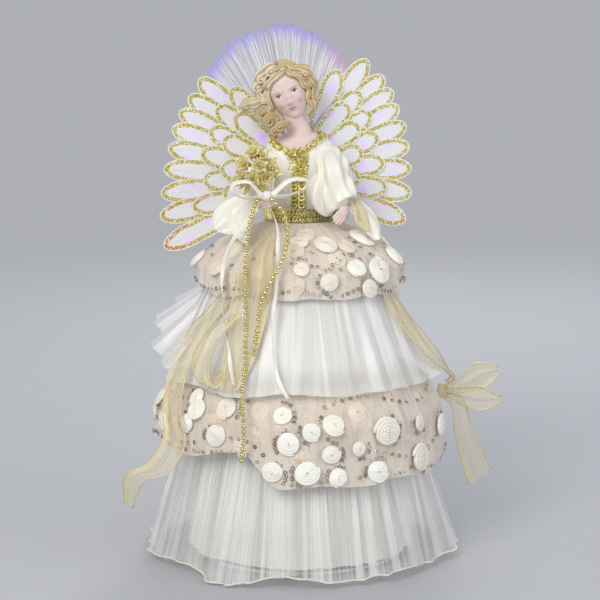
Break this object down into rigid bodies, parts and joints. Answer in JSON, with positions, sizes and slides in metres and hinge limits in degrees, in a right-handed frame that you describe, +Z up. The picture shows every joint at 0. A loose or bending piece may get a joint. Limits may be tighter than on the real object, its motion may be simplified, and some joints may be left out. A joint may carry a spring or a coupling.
{
  "type": "angel tree topper",
  "caption": "Angel doll tree topper with tiered organza skirts, coiled ribbon rosettes, fabric wings and a lit fibre-optic fan on an open support cone.",
  "frame": {"origin": "on the axis of the support cone, in the plane of the base ring that the topper stands on, where the tip of the tree enters", "axes": "+Z up along the support cone, -Y the way the doll faces, +X to the left hand side of the doll"},
  "size_m": [0.2903, 0.242, 0.406],
  "materials": {
    "white_plastic": "moulded",
    "black_plastic": "moulded",
    "clear_fibre": "polished",
    "painted_resin": "hand painted",
    "ivory_satin": "satin",
    "white_organza": "sheer",
    "champagne_net": "net",
    "gold_organza": "sheer",
    "gold_thread": "rolled hem",
    "gold_sequin": "metallised",
    "gold_glitter": "glitter",
    "gold_bead": "metallised",
    "feather_cloth": "glitter edged",
    "steel": "plain",
    "cell_wrap": "plain",
    "foam_core": "foamed"
  },
  "bodies": {
    "root": {"base_ring": "white_plastic", "support_cone": "white_plastic", "waist_plate": "white_plastic", "torso_core": "foam_core", "head_bust": "painted_resin", "arm_wire": "steel", "battery_case": "white_plastic", "battery_cell_1": "cell_wrap", "battery_cell_2": "cell_wrap", "battery_cell_3": "cell_wrap", "contact_plate_lower": "steel", "contact_plate_upper": "steel", "case_screw_upper": "steel", "case_screw_lower": "steel", "battery_lead": "black_plastic", "led_carrier": "white_plastic", "led_module": "black_plastic", "led_lamp": "clear_fibre", "fibre_ferrule": "black_plastic", "fibre_bundle": "clear_fibre", "halo_fibres": "clear_fibre", "bodice": "ivory_satin", "sequin_belt": "gold_sequin", "sequin_placket": "gold_sequin", "sequin_collar": "gold_sequin", "left_sleeve": "ivory_satin", "right_sleeve": "ivory_satin", "left_forearm_hand": "painted_resin", "right_forearm_hand": "painted_resin", "left_cuff_drape": "ivory_satin", "right_cuff_drape": "ivory_satin", "underskirt": "ivory_satin", "lower_tulle_skirt": "white_organza", "hem_trim": "gold_thread", "lower_rosette_tier": "champagne_net", "upper_tulle_skirt": "white_organza", "upper_rosette_tier": "champagne_net", "wing_back_plate": "white_plastic", "left_wing_wire": "steel", "right_wing_wire": "steel", "left_wing_long_feathers": "feather_cloth", "left_wing_middle_feathers": "feather_cloth", "left_wing_short_feathers": "feather_cloth", "right_wing_long_feathers": "feather_cloth", "right_wing_middle_feathers": "feather_cloth", "right_wing_short_feathers": "feather_cloth", "left_wing_fibres": "clear_fibre", "right_wing_fibres": "clear_fibre", "bouquet": "gold_glitter", "satin_bow": "ivory_satin", "satin_tail_left": "ivory_satin", "satin_tail_right": "ivory_satin", "bead_strand_long": "gold_bead", "bead_strand_second": "gold_bead", "front_ribbon": "gold_organza", "left_ribbon": "gold_organza", "right_ribbon": "gold_organza", "right_ribbon_bow": "gold_organza"},
    "battery_cover": {"battery_cover": "white_plastic"},
    "switch_slider": {"switch_slider": "black_plastic"}
  },
  "joints": [
    {"name": "battery_cover_slide", "type": "slide", "parent": "root", "child": "battery_cover", "axis": [0, 0.2057, -0.9786], "range_m": [0, 0.01]},
    {"name": "switch_slide", "type": "slide", "parent": "root", "child": "switch_slider", "axis": [1, 0, 0], "range_m": [0, 0.003]}
  ]
}
